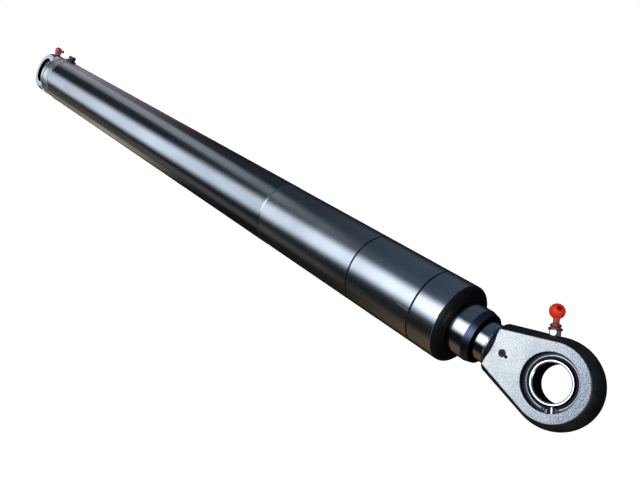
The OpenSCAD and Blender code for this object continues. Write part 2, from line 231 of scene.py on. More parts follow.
class Nodes:
    """Short calls for building a material's node tree."""

    def __init__(self, name):
        self.mat = bpy.data.materials.new(name)
        self.mat.use_nodes = True
        self.tree = self.mat.node_tree
        self.bsdf = self.tree.nodes["Principled BSDF"]
        self.coord = self.tree.nodes.new("ShaderNodeTexCoord").outputs["Object"]

    def link(self, a, b):
        self.tree.links.new(a, b)

    def set(self, **values):
        for key, value in values.items():
            self.bsdf.inputs[key.replace("_", " ")].default_value = value

    def scaled(self, scale):
        m = self.tree.nodes.new("ShaderNodeMapping")
        m.inputs["Scale"].default_value = scale
        self.link(self.coord, m.inputs["Vector"])
        return m.outputs["Vector"]

    def noise(self, scale, size=1.0, detail=3.0, rough=0.55, distort=0.0):
        n = self.tree.nodes.new("ShaderNodeTexNoise")
        n.inputs["Scale"].default_value = size
        n.inputs["Detail"].default_value = detail
        n.inputs["Roughness"].default_value = rough
        n.inputs["Distortion"].default_value = distort
        self.link(self.scaled(scale), n.inputs["Vector"])
        return n.outputs["Fac"]

    def cells(self, scale, size=1.0):
        n = self.tree.nodes.new("ShaderNodeTexVoronoi")
        n.inputs["Scale"].default_value = size
        self.link(self.scaled(scale), n.inputs["Vector"])
        return n.outputs["Distance"]

    def span(self, value, lo, hi, a=0.0, b=1.0):
        m = self.tree.nodes.new("ShaderNodeMapRange")
        m.inputs["From Min"].default_value = lo
        m.inputs["From Max"].default_value = hi
        m.inputs["To Min"].default_value = a
        m.inputs["To Max"].default_value = b
        self.link(value, m.inputs["Value"])
        return m.outputs["Result"]

    def math(self, op, a, b=None):
        m = self.tree.nodes.new("ShaderNodeMath")
        m.operation = op
        for i, v in enumerate((a, b)):
            if v is None:
                continue
            if isinstance(v, (int, float)):
                m.inputs[i].default_value = v
            else:
                self.link(v, m.inputs[i])
        return m.outputs[0]

    def mix(self, fac, a, b):
        m = self.tree.nodes.new("ShaderNodeMix")
        m.data_type = "RGBA"
        for key, v in (("Factor", fac), ("A", a), ("B", b)):
            socket = [s for s in m.inputs if s.name == key and s.type in ("VALUE", "RGBA")]
            socket = [s for s in socket if (s.type == "VALUE") == (key == "Factor")][0]
            if isinstance(v, (int, float)):
                socket.default_value = v
            elif isinstance(v, tuple):
                socket.default_value = (*v, 1)
            else:
                self.link(v, socket)
        return [s for s in m.outputs if s.type == "RGBA"][0]

    def band(self, value, centre, half, soft):
        """1 within half of the centre, fading to 0 over the soft distance."""
        far = self.math("ABSOLUTE", self.math("SUBTRACT", value, centre))
        return self.span(far, half + soft, half)

    def axis(self, index):
        s = self.tree.nodes.new("ShaderNodeSeparateXYZ")
        self.link(self.coord, s.inputs[0])
        return s.outputs[index]

    def from_pin(self, centre):
        """Distance from a line along Y through (centre, 0)."""
        across = self.math("SUBTRACT", self.axis("X"), centre)
        z = self.axis("Z")
        squares = self.math("ADD", self.math("MULTIPLY", across, across), self.math("MULTIPLY", z, z))
        return self.math("SQRT", squares)

    def metal_outside(self, mask):
        """Metal, but not where the mask is 1."""
        self.link(self.span(mask, 0, 1, 1.0, 0.0), self.bsdf.inputs["Metallic"])

    def bump(self, *layers):
        last = None
        for height, strength, distance in layers:
            b = self.tree.nodes.new("ShaderNodeBump")
            b.inputs["Strength"].default_value = strength
            b.inputs["Distance"].default_value = distance
            self.link(height, b.inputs["Height"])
            if last is not None:
                self.link(last, b.inputs["Normal"])
            last = b.outputs["Normal"]
        self.link(last, self.bsdf.inputs["Normal"])

    def colour(self, socket):
        self.link(socket, self.bsdf.inputs["Base Color"])

    def rough(self, socket):
        self.link(socket, self.bsdf.inputs["Roughness"])


def turned_metal(name, base, rough, line=2600, wear=0.1, spread=0.05):
    """Metal turned in a lathe about X: fine rings, slight stains."""
    n = Nodes(name)
    n.set(Metallic=1.0)
    rings = n.noise((line, 2, 2), detail=2)
    stain = n.noise((9, 14, 14), detail=5, rough=0.6)
    dark = tuple(c * (1 - wear) for c in base)
    n.colour(n.mix(n.span(stain, 0.35, 0.65), base, dark))
    fine = n.span(rings, 0.3, 0.7, rough - spread, rough + spread)
    n.rough(n.math("ADD", fine, n.span(stain, 0.3, 0.7, 0, spread)))
    n.bump((rings, 0.12, 0.00002))
    return n.mat


def barrel_metal():
    """Drawn tube behind, turned steel in front, with handling marks."""
    n = Nodes("barrel_steel")
    x = n.axis("X")
    edge = n.noise((6, 25, 25), detail=3)
    place = n.math("ADD", x, n.span(edge, 0.3, 0.7, -0.006, 0.006))
    front = n.span(place, X_TURNED - 1.5 * MM, X_TURNED + 1.5 * MM)
    lines = n.noise((3, 900, 900), detail=3, rough=0.7)
    rings = n.noise((2400, 3, 3), detail=2)
    stain = n.noise((4, 22, 22), detail=6, rough=0.62)
    blotch = n.noise((14, 10, 10), detail=4)
    scratch = n.noise((16, 420, 420), detail=1, distort=1.4)
    marks = n.span(scratch, 0.70, 0.74)
    drawn = n.mix(n.span(stain, 0.3, 0.7), (0.56, 0.58, 0.61), (0.40, 0.42, 0.46))
    drawn = n.mix(n.math("MULTIPLY", n.span(lines, 0.55, 0.75), 0.35), drawn, (0.30, 0.31, 0.34))
    turned = n.mix(n.span(blotch, 0.35, 0.7), (0.60, 0.62, 0.65), (0.50, 0.52, 0.56))
    both = n.mix(front, drawn, turned)
    # painted shade: the seam's groove and the joint with the collar are painted near black
    seam = n.math("MAXIMUM", n.band(x, X_SEAM, 1.5 * MM, 0.2 * MM), n.band(x, X_HEAD, 1.6 * MM, 0.2 * MM))
    both = n.mix(seam, both, (0.004, 0.004, 0.006))
    n.metal_outside(seam)
    n.set(Specular_IOR_Level=0.22)
    n.colour(n.mix(n.math("MULTIPLY", marks, 0.3), both, (0.72, 0.73, 0.75)))
    r_back = n.span(lines, 0.3, 0.75, 0.15, 0.24)
    r_front = n.span(rings, 0.3, 0.7, 0.17, 0.25)
    mixed = n.mix(front, r_back, r_front)
    n.rough(n.math("ADD", n.math("MULTIPLY", marks, 0.12), mixed))
    n.bump((lines, 0.10, 0.00002), (rings, 0.06, 0.00002), (marks, 0.10, 0.00002))
    return n.mat


def collar_metal():
    """Head collar: turned steel on the rim, painted near black on the rounded front and the face (painted
    shade).
    """
    n = Nodes("head_steel")
    x = n.axis("X")
    soft = n.noise((30, 60, 60), detail=4)
    place = n.math("ADD", x, n.span(soft, 0.3, 0.7, -0.0006, 0.0006))
    # painted shade: the rounded front, the face and the joint with the barrel are painted near black
    black = n.math("MAXIMUM", n.span(place, X_FACE - 7.9 * MM, X_FACE - 7.2 * MM),
                   n.band(x, X_HEAD, 1.6 * MM, 0.2 * MM))
    rings = n.noise((2400, 3, 3), detail=2)
    blotch = n.noise((20, 12, 12), detail=4)
    steel = n.mix(n.span(blotch, 0.35, 0.7), (0.60, 0.62, 0.65), (0.49, 0.51, 0.55))
    front_shade_black = n.mix(n.span(soft, 0.35, 0.65), (0.003, 0.003, 0.004), (0.007, 0.007, 0.009))
    n.colour(n.mix(black, steel, front_shade_black))
    n.metal_outside(black)
    n.set(Specular_IOR_Level=0.22)
    n.rough(n.math("ADD", n.span(rings, 0.3, 0.7, 0.17, 0.25), n.math("MULTIPLY", black, 0.26)))
    n.bump((rings, 0.08, 0.00002))
    return n.mat


def stage_metal():
    n = Nodes("stage_steel")
    n.set(Metallic=1.0)
    x = n.axis("X")
    chamfer = n.span(x, X_STAGE - 10.4 * MM, X_STAGE - 9.9 * MM)
    rings = n.noise((3000, 2, 2), detail=2)
    smear = n.noise((12, 40, 40), detail=5)
    ground = n.mix(n.span(smear, 0.35, 0.7), (0.58, 0.60, 0.63), (0.46, 0.48, 0.52))
    tint = n.mix(n.span(smear, 0.3, 0.7), (0.10, 0.105, 0.17), (0.06, 0.065, 0.11))
    # painted shade: darker towards the collar's face, and dark all the way behind it
    film_and_shade = n.span(x, X_FACE - 1 * MM, X_FACE + 13 * MM, 0.85, 0.0)
    ground = n.mix(film_and_shade, ground, (0.02, 0.022, 0.028))
    n.colour(n.mix(chamfer, ground, tint))
    n.rough(n.math("ADD", n.span(rings, 0.3, 0.7, 0.10, 0.16), n.math("MULTIPLY", chamfer, 0.2)))
    n.bump((rings, 0.05, 0.00002))
    return n.mat


def chrome_metal():
    n = Nodes("rod_chrome")
    x = n.axis("X")
    rings = n.noise((3600, 2, 2), detail=2)
    film_and_shade = n.noise((18, 50, 50), detail=5)
    clean = n.mix(n.span(film_and_shade, 0.35, 0.7), (0.60, 0.62, 0.66), (0.50, 0.52, 0.56))
    # painted shade: the rod is dark next to the stage's wiper
    wiper_shade = n.band(x, X_STAGE - 3 * MM, 2 * MM, 7 * MM)
    clean = n.mix(n.math("MULTIPLY", wiper_shade, 0.8), clean, (0.02, 0.022, 0.028))
    # painted shade: the undercut before the eye is painted near black
    neck_gap_shade = n.span(x, X_NECK - 4.2 * MM, X_NECK - 3.7 * MM)
    n.colour(n.mix(neck_gap_shade, clean, (0.004, 0.004, 0.006)))
    n.metal_outside(neck_gap_shade)
    n.set(Specular_IOR_Level=0.2)
    n.rough(n.math("ADD", n.span(film_and_shade, 0.3, 0.7, 0.08, 0.14), n.math("MULTIPLY", neck_gap_shade, 0.4)))
    n.bump((rings, 0.03, 0.00001))
    return n.mat


def blasted_metal():
    """Flat faces of the eyes: light, shot-blasted, slightly uneven, with painted shade and painted light over
    them.
    """
    n = Nodes("eye_face_steel")
    n.set(Metallic=0.9)
    x = n.axis("X")
    grain = n.noise((640, 640, 640), detail=4, rough=0.8)
    pits = n.cells((480, 480, 480))
    cloud = n.noise((34, 34, 34), detail=5, rough=0.65)
    # light and dull are a lit copy and a shaded copy of the blasted face
    light = n.mix(n.span(grain, 0.34, 0.56), (0.30, 0.31, 0.33), (0.87, 0.86, 0.82))
    light = n.mix(n.span(cloud, 0.45, 0.72, 0.0, 0.5), light, (0.48, 0.49, 0.50))
    dull = n.mix(n.span(grain, 0.42, 0.56), (0.03, 0.035, 0.05), (0.52, 0.55, 0.62))
    # painted shade: the front eye's face turns from the lit copy to the shaded copy towards +X, unevenly
    painted_shading = n.math("ADD", n.span(x, PIN_X - 62 * MM, PIN_X + 44 * MM), n.span(cloud, 0.3, 0.7, -0.12, 0.12))
    shade = n.mix(painted_shading, light, dull)
    # the far eye: painted lighter and more violet (painted light), with a painted dark edge and a painted
    # dark line part way in (painted shade)
    far = n.span(x, 300 * MM, 200 * MM)
    out = n.from_pin(0.0)
    lines = n.math("MAXIMUM", n.band(out, 45.0 * MM, 0.5 * MM, 1.0 * MM), n.span(out, 50.0 * MM, 51.0 * MM))
    shade = n.mix(n.math("MULTIPLY", far, 0.5), shade, (0.90, 0.87, 0.95))
    shade = n.mix(n.math("MULTIPLY", n.math("MULTIPLY", lines, far), 0.7), shade, (0.03, 0.03, 0.045))
    n.colour(n.mix(n.span(pits, 0.0, 0.24, 0.7, 0.0), shade, (0.05, 0.05, 0.065)))
    n.rough(n.span(grain, 0.3, 0.7, 0.34, 0.52))
    n.bump((cloud, 0.35, 0.0010), (grain, 0.9, 0.0004))
    return n.mat


def base_metal():
    """Round base behind the tube: turned steel, dulled and mottled, with a painted shadow line round it."""
    n = Nodes("base_steel")
    n.set(Metallic=1.0)
    rings = n.noise((1500, 3, 3), detail=2)
    grain = n.noise((260, 260, 260), detail=5, rough=0.7)
    cloud = n.noise((40, 40, 40), detail=5, rough=0.65)
    light = n.mix(n.span(grain, 0.40, 0.58), (0.40, 0.39, 0.47), (1.0, 1.0, 1.0))
    light = n.mix(n.span(cloud, 0.55, 0.70), light, (0.16, 0.16, 0.20))
    place = n.math("ADD", n.axis("X"), n.span(cloud, 0.3, 0.7, -2 * MM, 2 * MM))
    # painted shadow: a dark line round the bar, 40 mm behind the tube
    line = n.band(place, X_BASE - 40 * MM, 2 * MM, 2 * MM)
    n.colour(n.mix(n.math("MULTIPLY", line, 0.85), light, (0.04, 0.04, 0.055)))
    n.rough(n.span(grain, 0.3, 0.7, 0.26, 0.42))
    n.bump((rings, 0.15, 0.00004), (grain, 0.25, 0.0002))
    return n.mat


def dark_flank_metal():
    """Forged flanks of the eyes: painted dark for the shade on them, with lighter rubbed high spots."""
    n = Nodes("eye_flank_steel")
    n.set(Metallic=0.9)
    grain = n.noise((300, 300, 300), detail=5, rough=0.65)
    cloud = n.noise((45, 45, 45), detail=4)
    base = n.mix(n.span(cloud, 0.35, 0.68), (0.034, 0.034, 0.036), (0.080, 0.082, 0.080))
    n.colour(n.mix(n.span(grain, 0.58, 0.75), base, (0.16, 0.16, 0.165)))
    n.rough(n.span(grain, 0.3, 0.7, 0.36, 0.54))
    n.bump((cloud, 0.2, 0.0008), (grain, 0.3, 0.00025))
    return n.mat


def dark_metal(name, base, rough, metallic=0.6):
    n = Nodes(name)
    n.set(Metallic=metallic)
    grain = n.noise((260, 260, 260), detail=4)
    wear = n.noise((60, 60, 60), detail=5)
    n.colour(n.mix(n.span(wear, 0.45, 0.75), base, tuple(c * 1.9 + 0.01 for c in base)))
    n.rough(n.span(grain, 0.3, 0.7, rough - 0.06, rough + 0.08))
    n.bump((grain, 0.12, 0.0001))
    return n.mat


def bright_metal(name, base, rough):
    n = Nodes(name)
    n.set(Metallic=1.0)
    grain = n.noise((500, 500, 500), detail=4)
    film_and_shade = n.noise((90, 90, 90), detail=3)
    n.colour(n.mix(n.span(film_and_shade, 0.35, 0.7), base, tuple(c * 0.82 for c in base)))
    n.rough(n.span(grain, 0.3, 0.7, rough - 0.04, rough + 0.06))
    n.bump((grain, 0.08, 0.00005))
    return n.mat


def weld_metal():
    n = Nodes("weld_steel")
    n.set(Metallic=0.9)
    grain = n.noise((350, 350, 350), detail=4)
    heat = n.noise((40, 40, 40), detail=4)
    spark = n.noise((160, 160, 160), detail=3)
    seam = n.mix(n.span(heat, 0.35, 0.68), (0.30, 0.30, 0.34), (0.44, 0.42, 0.42))
    n.colour(n.mix(n.span(spark, 0.52, 0.60), seam, (0.95, 0.95, 1.0)))
    n.rough(n.span(grain, 0.3, 0.7, 0.32, 0.50))
    n.bump((grain, 0.2, 0.00015))
    return n.mat


def race_metal(name, centre, inner):
    """Outer bearing ring: light face; painted shade makes it dark within a radius and at the split, and a
    painted highlight line lies there.
    """
    n = Nodes(name)
    n.set(Metallic=1.0)
    grain = n.noise((420, 420, 420), detail=4)
    around = n.math("ARCTAN2", n.axis("Z"), n.math("SUBTRACT", n.axis("X"), centre))
    at = math.radians(-64)
    # painted shade at the split, with a painted highlight line beside it
    dark = n.band(around, at, math.radians(8), math.radians(1.5))
    line = n.band(around, at + math.radians(1), math.radians(1.1), math.radians(0.6))
    out = n.from_pin(centre)
    ring = n.mix(n.span(grain, 0.35, 0.65), (0.34, 0.34, 0.38), (0.55, 0.55, 0.60))
    # painted shade: dark within the given radius
    ring = n.mix(n.span(out, inner, inner - 0.5 * MM), ring, (0.010, 0.010, 0.014))
    split = n.mix(line, (0.012, 0.012, 0.02), (1.0, 1.0, 1.0))
    n.colour(n.mix(dark, ring, split))
    n.rough(n.span(grain, 0.3, 0.7, 0.26, 0.40))
    n.bump((grain, 0.1, 0.0001))
    return n.mat


def moulded(name, base, rough, glow=None, coat=0.0, level=0.5):
    """Rubber or plastic with a slight skin texture and colour drift, and a faint glow where given (painted
    light).
    """
    n = Nodes(name)
    grain = n.noise((700, 700, 700), detail=3)
    drift = n.noise((70, 70, 70), detail=4)
    n.colour(n.mix(n.span(drift, 0.35, 0.68), base, tuple(c * 0.78 for c in base)))
    n.rough(n.span(grain, 0.3, 0.7, rough - 0.05, rough + 0.08))
    n.set(Specular_IOR_Level=level, Coat_Weight=coat)
    # glow: painted light, the part gives off a little light of its own
    if glow:
        n.set(Emission_Color=(*glow[:3], 1), Emission_Strength=glow[3])
    n.bump((grain, 0.10, 0.00008))
    return n.mat


MAT = {
    "drawn_steel": barrel_metal(),
    "eye_steel": blasted_metal(),
    "weld_steel": weld_metal(),
    "dark_steel": dark_metal("black_oxide_steel", (0.018, 0.018, 0.021), 0.34),
    "honed_steel": stage_metal(),
    "chrome": chrome_metal(),
    "machined_steel": turned_metal("machined_steel", (0.52, 0.52, 0.55), 0.28),
    "bearing_steel": bright_metal("bearing_steel", (0.50, 0.51, 0.54), 0.20),
    "zinc": bright_metal("zinc_plate", (0.80, 0.80, 0.83), 0.18),
    "seal_rubber": moulded("seal_rubber", (0.003, 0.003, 0.004), 0.55, level=0.2),
    "seal_blue": moulded("seal_polyurethane", (0.04, 0.12, 0.30), 0.35),
    "guide_resin": moulded("guide_resin", (0.26, 0.11, 0.05), 0.5),
    "plug_plastic": moulded("black_plastic", (0.010, 0.010, 0.011), 0.32),
    # the red cap glows faintly: painted light
    "cap_red": moulded("red_rubber", (0.80, 0.034, 0.006), 0.42, glow=(1.0, 0.05, 0.004, 0.17), level=0.35),
}
FLANK = dark_flank_metal()
COLLAR = collar_metal()
# darker red for the dish of a cap's button: painted shade, with a faint painted glow
BUTTON = moulded("red_rubber_deep", (0.30, 0.001, 0.003), 0.5, glow=(0.5, 0.0, 0.003, 0.10), level=0.15)
# darker copies of the red rubber for the skirt and stem below the ball: painted shade; the stem also glows
# faintly (painted light)
SKIRT = moulded("red_rubber_shaded_skirt", (0.22, 0.014, 0.016), 0.32, coat=0.25)
STEM = moulded("red_rubber_brown", (0.36, 0.055, 0.035), 0.45, glow=(0.5, 0.05, 0.02, 0.08))
# a pinker copy of the red rubber for the far cap, with a faint glow (painted light)
CAP_FAR = moulded("red_rubber_pink", (0.50, 0.075, 0.080), 0.4, glow=(0.5, 0.06, 0.07, 0.12), coat=0.3)
# near-black steel: painted shade on the bearings' ball surfaces and bores, in the eyes' bores and holes, and
# in the front eye's seat for the rod
RACE_DARK = dark_metal("race_dark_steel", (0.012, 0.012, 0.017), 0.30, metallic=1.0)
SPOT = bright_metal("spot_face_steel", (0.26, 0.29, 0.34), 0.5)
# near-white steel: painted highlight on the inner rings' faces and bore edges
RACE_EDGE = bright_metal("race_edge_steel", (0.92, 0.93, 0.96), 0.25)
BASE = base_metal()

slot_of = {s["node"]: s["material_slot"] for s in frame["record"]["subparts"]}
for name, ob in frame["nodes"].items():
    ob.data.materials.clear()
    ob.data.materials.append(MAT[slot_of[name]])
    for p in ob.data.polygons:
        p.material_index = 0
for name, centre, inner in (("front_outer_race", PIN_X, 33.5 * MM), ("rear_outer_race", 0.0, 30.5 * MM)):
    frame["nodes"][name].data.materials[0] = race_metal(name + "_steel", centre, inner)
CLIP_BRIGHT = bright_metal("bright_clip_steel", (0.86, 0.84, 0.93), 0.34)
frame["nodes"]["rear_circlips"].data.materials[0] = CLIP_BRIGHT

# --------------------------------------------------------------------- barrel

# the points a few millimetres from each step keep the long faces' shading flat
R = BARREL_R
TURNED_R = R - 0.25 * MM
outline = fillet([
    (BORE_R, X_BASE), (R - 5 * MM, X_BASE), (R, X_BASE + 5 * MM, 0.6 * MM),
    (R, X_BASE + 8 * MM), (R, X_TURNED - 2 * MM), (R, X_TURNED - 0.3 * MM),
    (TURNED_R, X_TURNED + 0.3 * MM), (TURNED_R, X_TURNED + 2 * MM), (TURNED_R, X_SEAM - 3 * MM),
    (TURNED_R, X_SEAM - 0.8 * MM), (R - 1.5 * MM, X_SEAM - 0.5 * MM),
    (R - 1.5 * MM, X_SEAM + 0.5 * MM), (TURNED_R, X_SEAM + 0.8 * MM), (TURNED_R, X_SEAM + 3 * MM),
    (TURNED_R, X_HEAD - 4 * MM), (TURNED_R, X_HEAD - 1.2 * MM), (R - 1.4 * MM, X_HEAD), (BORE_R, X_HEAD),
])
finish_mesh("barrel_tube_fine", lathe(bmesh.new(), outline, 224), "barrel",
            [MAT["drawn_steel"]], ["barrel_tube"])

# head collar with its rounded front and the recess of the wiper
outline = fillet([
    (40.3 * MM, X_HEAD - 80 * MM), (47 * MM, X_HEAD - 80 * MM), (SPIGOT_R, X_HEAD - 77 * MM),
    (SPIGOT_R, X_HEAD), (R - 1.4 * MM, X_HEAD), (R - 0.2 * MM, X_HEAD + 1.2 * MM, 0.3 * MM),
    (R - 0.2 * MM, X_HEAD + 4 * MM), (R - 0.2 * MM, X_FACE - 10 * MM), (R - 0.2 * MM, X_FACE, 7.8 * MM),
    (46.5 * MM, X_FACE, 0.5 * MM), (46.5 * MM, X_FACE - 12 * MM), (40.3 * MM, X_FACE - 12 * MM),
], 10)
finish_mesh("head_gland_fine", lathe(bmesh.new(), outline, 224), "barrel",
            [COLLAR], ["head_gland"])

outline = fillet([
    (STAGE_R + 1.4 * MM, X_FACE - 11.9 * MM), (46.4 * MM, X_FACE - 11.9 * MM),
    (46.4 * MM, X_FACE - 0.6 * MM, 0.8 * MM), (43.6 * MM, X_FACE - 1.4 * MM, 0.8 * MM),
    (42.2 * MM, X_FACE - 0.2 * MM, 0.6 * MM), (STAGE_R + 0.25 * MM, X_FACE + 1.1 * MM, 0.3 * MM),
    (STAGE_R + 0.06 * MM, X_FACE + 0.4 * MM), (STAGE_R + 0.06 * MM, X_FACE - 2 * MM),
    (STAGE_R + 1.4 * MM, X_FACE - 4 * MM),
])
finish_mesh("head_wiper_fine", lathe(bmesh.new(), outline, 192), "barrel",
            [MAT["seal_rubber"]], ["head_wiper"])

# ---------------------------------------------------------------------- stage

outline = fillet([
    (33 * MM, X_STAGE0), (STAGE_R, X_STAGE0), (STAGE_R, X_STAGE - 14 * MM),
    (STAGE_R, X_STAGE - 10 * MM, 1.2 * MM), (STAGE_R - 2.7 * MM, X_STAGE, 0.5 * MM),
    (36 * MM, X_STAGE), (36 * MM, X_STAGE - 90 * MM),
    (33 * MM, X_STAGE - 90 * MM),
])
finish_mesh("stage_tube_fine", lathe(bmesh.new(), outline, 192), "stage",
            [MAT["honed_steel"]], ["stage_tube"])

outline = fillet([
    (ROD_R + 1.2 * MM, X_STAGE - 13.9 * MM), (34.5 * MM, X_STAGE - 13.9 * MM),
    (34.5 * MM, X_STAGE - 4.8 * MM, 0.6 * MM), (32.6 * MM, X_STAGE - 5.4 * MM, 0.5 * MM),
    (31.6 * MM, X_STAGE - 4.4 * MM, 0.4 * MM), (ROD_R + 0.25 * MM, X_STAGE - 2.7 * MM, 0.2 * MM),
    (ROD_R + 0.06 * MM, X_STAGE - 3.4 * MM), (ROD_R + 0.06 * MM, X_STAGE - 6 * MM),
    (ROD_R + 1.2 * MM, X_STAGE - 8 * MM),
])
finish_mesh("stage_wiper_fine", lathe(bmesh.new(), outline, 160), "stage",
            [MAT["seal_rubber"]], ["stage_wiper"])

# ------------------------------------------------------------------------ rod

outline = fillet([
    (0, X_ROD0), (16 * MM, X_ROD0), (18 * MM, X_ROD0 + 2 * MM), (18 * MM, X_ROD0 + 58 * MM),
    (ROD_R, X_ROD0 + 58 * MM), (ROD_R, X_NECK - 8 * MM), (ROD_R, X_NECK - 5.6 * MM, 0.3 * MM),
    (ROD_R - 1.2 * MM, X_NECK - 4.8 * MM), (ROD_R - 1.2 * MM, X_NECK + 1.4 * MM, 0.3 * MM),
    (STUD_R, X_NECK + 4.33 * MM), (STUD_R, X_STUD - 2 * MM), (18 * MM, X_STUD), (0, X_STUD),
])
finish_mesh("rod_fine", lathe(bmesh.new(), outline, 160), "rod", [MAT["chrome"]], ["rod"])

# ----------------------------------------------------------------------- eyes

flank_d = REACH - FACE_R
flank_r = (flank_d ** 2 + HALF ** 2) / (2 * flank_d)


def flank(y):
    """Radius of the eye's round at a distance y from its middle plane."""
    return REACH - flank_r + math.sqrt(max(flank_r ** 2 - y * y, 0))


def eye_mesh(neck_x, neck_r, crease=1.0 * MM):
    """Eye at the origin with its neck towards -X: one closed quad mesh."""
    layers = []
    for k in range(-14, 15):
        layers.append((HALF - crease) * math.sin(math.pi / 2 * k / 14))
    prof = [(y, 0.0) for y in layers]
    edge = [(HALF - crease + crease * math.sin(t), crease * (1 - math.cos(t)))
            for t in [math.pi / 2 * j / 4 for j in range(1, 5)]]
    prof = [(-y, d) for y, d in reversed(edge)] + prof + edge
    n_arc, n_side, n_end = 120, 18, 24
    bm = bmesh.new()
    grid = []
    for y, inset in prof:
        yy = max(-HALF, min(HALF, y))
        r = flank(yy) - inset
        w = math.sqrt(neck_r ** 2 - yy * yy) - inset
        x_end = neck_x + inset
        corner = Vector((x_end, w))
        a = math.atan2(w, x_end) - math.acos(r / corner.length)
        pts = []
        for i in range(n_arc + 1):
            t = a + (-2 * a) * i / n_arc
            pts.append(Vector((r * math.cos(t), r * math.sin(t))))
        low, high = pts[-1].copy(), pts[0].copy()
        c0, c1 = Vector((x_end, -w)), Vector((x_end, w))
        for i in range(1, n_side + 1):
            pts.append(low.lerp(c0, i / n_side))
        for i in range(1, n_end + 1):
            t = i / n_end
            pts.append(c0.lerp(c1, t))
        for i in range(1, n_side):
            pts.append(c1.lerp(high, i / n_side))
        grid.append([bm.verts.new((p.x, yy, p.y)) for p in pts])
    n = len(grid[0])
    for j in range(len(grid) - 1):
        for i in range(n):
            k = (i + 1) % n
            f = bm.faces.new((grid[j][i], grid[j][k], grid[j + 1][k], grid[j + 1][i]))
            f.material_index = 1
    # bore with its two ring grooves, one loop of points per outline point
    angles = [math.atan2(v.co.z, v.co.x) for v in grid[0]]
    bore = [(RACE_R + 0.6 * MM, HALF), (RACE_R, HALF - 0.6 * MM), (RACE_R, CLIP_OUT), (CLIP_R, CLIP_OUT),
            (CLIP_R, CLIP_IN), (RACE_R, CLIP_IN)]
    bore = bore + [(r, -y) for r, y in reversed(bore)]
    loops = [[bm.verts.new((r * math.cos(a), y, r * math.sin(a))) for a in angles] for r, y in bore]
    for j in range(len(loops) - 1):
        for i in range(n):
            k = (i + 1) % n
            f = bm.faces.new((loops[j][i], loops[j][k], loops[j + 1][k], loops[j + 1][i]))
            f.material_index = 2
    for outer, inner, y in ((grid[-1], loops[0], HALF), (grid[0], loops[-1], -HALF)):
        last = outer
        steps = 12
        for s in range(1, steps + 1):
            if s == steps:
                ring = inner
            else:
                ring = []
                for o, q in zip(outer, inner):
                    p = o.co.lerp(q.co, s / steps)
                    ring.append(bm.verts.new((p.x, y, p.z)))
            for i in range(n):
                k = (i + 1) % n
                bm.faces.new((last[i], last[k], ring[k], ring[i]))
            last = ring
    return bm


def nipple_frame(joint, ball):
    """Frame whose local Z is a nipple's axis, with heights measured from the pin."""
    axis = [j["axis"] for j in frame["record"]["behaviour"]["joints"] if j["name"] == joint][0]
    axis = Vector(axis).normalized()
    lo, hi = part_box(ball)
    side = Vector((0, 1, 0)).cross(axis)
    m = Matrix((side, (0, 1, 0), axis)).transposed().to_4x4()
    m.translation = (lo + hi) / 2 - axis * (SEAT + 2.3 * MM)
    return m


NIPPLE_FRONT = nipple_frame("front_cap_pull", "front_nipple_ball")
NIPPLE_REAR = nipple_frame("rear_cap_pull", "rear_nipple_ball")
EYE_MATS = [MAT["eye_steel"], FLANK, RACE_DARK, BASE, SPOT]


def up(matrix, h):
    return matrix @ Matrix.Translation((0, 0, h))


def cut_with(target, tool, slot):
    """Cuts a tool out of an eye; the new faces take one of the eye's materials."""
    give_materials(tool, EYE_MATS, slot)
    boolean(target, tool, "DIFFERENCE")


def nipple_seat(eye, matrix):
    cut_with(eye, rod_tool(SPOT_R, 20 * MM, up(matrix, SEAT)), 4)
    cut_with(eye, rod_tool(NIPPLE_R, 30 * MM, up(matrix, SEAT - 12 * MM)), 2)


# front eye: mesh, then the nipple's spot face, the conical seat and the screw hole
bm = eye_mesh(X_NECK - PIN_X, 37.0 * MM)
bmesh.ops.translate(bm, verts=bm.verts, vec=(PIN_X, 0, 0))
front_eye = finish_mesh("front_eye_fine", bm, "rod", EYE_MATS, ["front_eye"], 30)
nipple_seat(front_eye, NIPPLE_FRONT)
seat = [
    (0, -1 * MM), (ROD_R + 7 * MM, -1 * MM), (ROD_R + 4 * MM, 0), (ROD_R + 1 * MM, 1 * MM),
    (20.05 * MM, 4.65 * MM), (20.05 * MM, X_STUD - X_NECK + 0.5 * MM), (0, X_STUD - X_NECK + 0.5 * MM),
]
cut_with(front_eye, tool_from(lathe(bmesh.new(), seat, 128, Matrix.Translation((X_NECK, 0, 0)) @ TO_X)), 2)
SCREW_X = sum(span("eye_set_screw", 0)) / 2
TO_CAMERA_SIDE = Matrix.Rotation(math.pi / 2, 4, "X")
outline = mm([(0, 0), (4.05, 0), (4.05, 3.7), (5.1, 3.7), (5.1, 5.8), (5.4, 6.2), (5.4, 9), (0, 9)])
hole = lathe(bmesh.new(), outline, 48, Matrix.Translation((SCREW_X, -18.9 * MM, 0)) @ TO_CAMERA_SIDE)
cut_with(front_eye, tool_from(hole), 2)
punch = lathe(bmesh.new(), mm([(0, 0), (1.0, 0.2), (2.2, 1.6), (2.2, 5), (0, 5)]),
              24, Matrix.Translation((SCREW_X + 7.0 * MM, -23.2 * MM, -1.6 * MM)) @ TO_CAMERA_SIDE)
cut_with(front_eye, tool_from(punch), 2)
resharpen(front_eye, 30)

